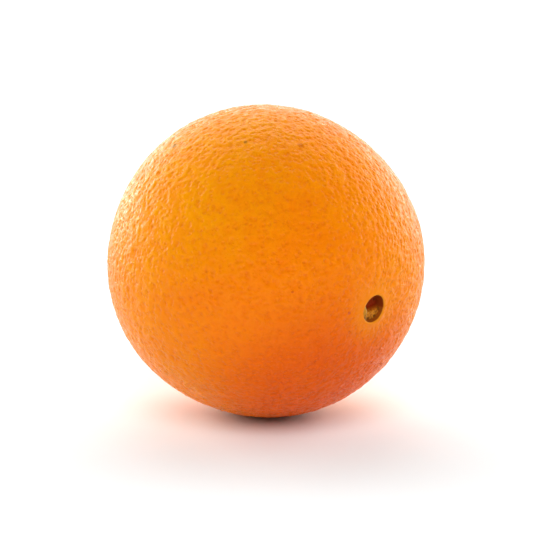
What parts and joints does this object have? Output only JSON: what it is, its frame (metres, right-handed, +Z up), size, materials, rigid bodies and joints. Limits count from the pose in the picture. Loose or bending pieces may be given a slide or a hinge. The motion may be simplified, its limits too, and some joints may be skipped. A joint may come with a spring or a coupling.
{
  "type": "orange",
  "caption": "Whole sweet orange, nearly round, with a pebbled peel and a round stem scar, lying on its side on a small flat spot.",
  "frame": {"origin": "the middle of the flat spot that the fruit rests on", "axes": "+Z up, away from the surface it rests on. The stem end points 48 degrees from +X towards -Y, and 8 degrees below level."},
  "size_m": [0.0812, 0.0812, 0.0796],
  "materials": {
    "orange_peel": "satin waxy peel with fine pits, tan-brown stem scar"
  },
  "bodies": {
    "root": {"orange": "orange_peel"}
  },
  "joints": []
}
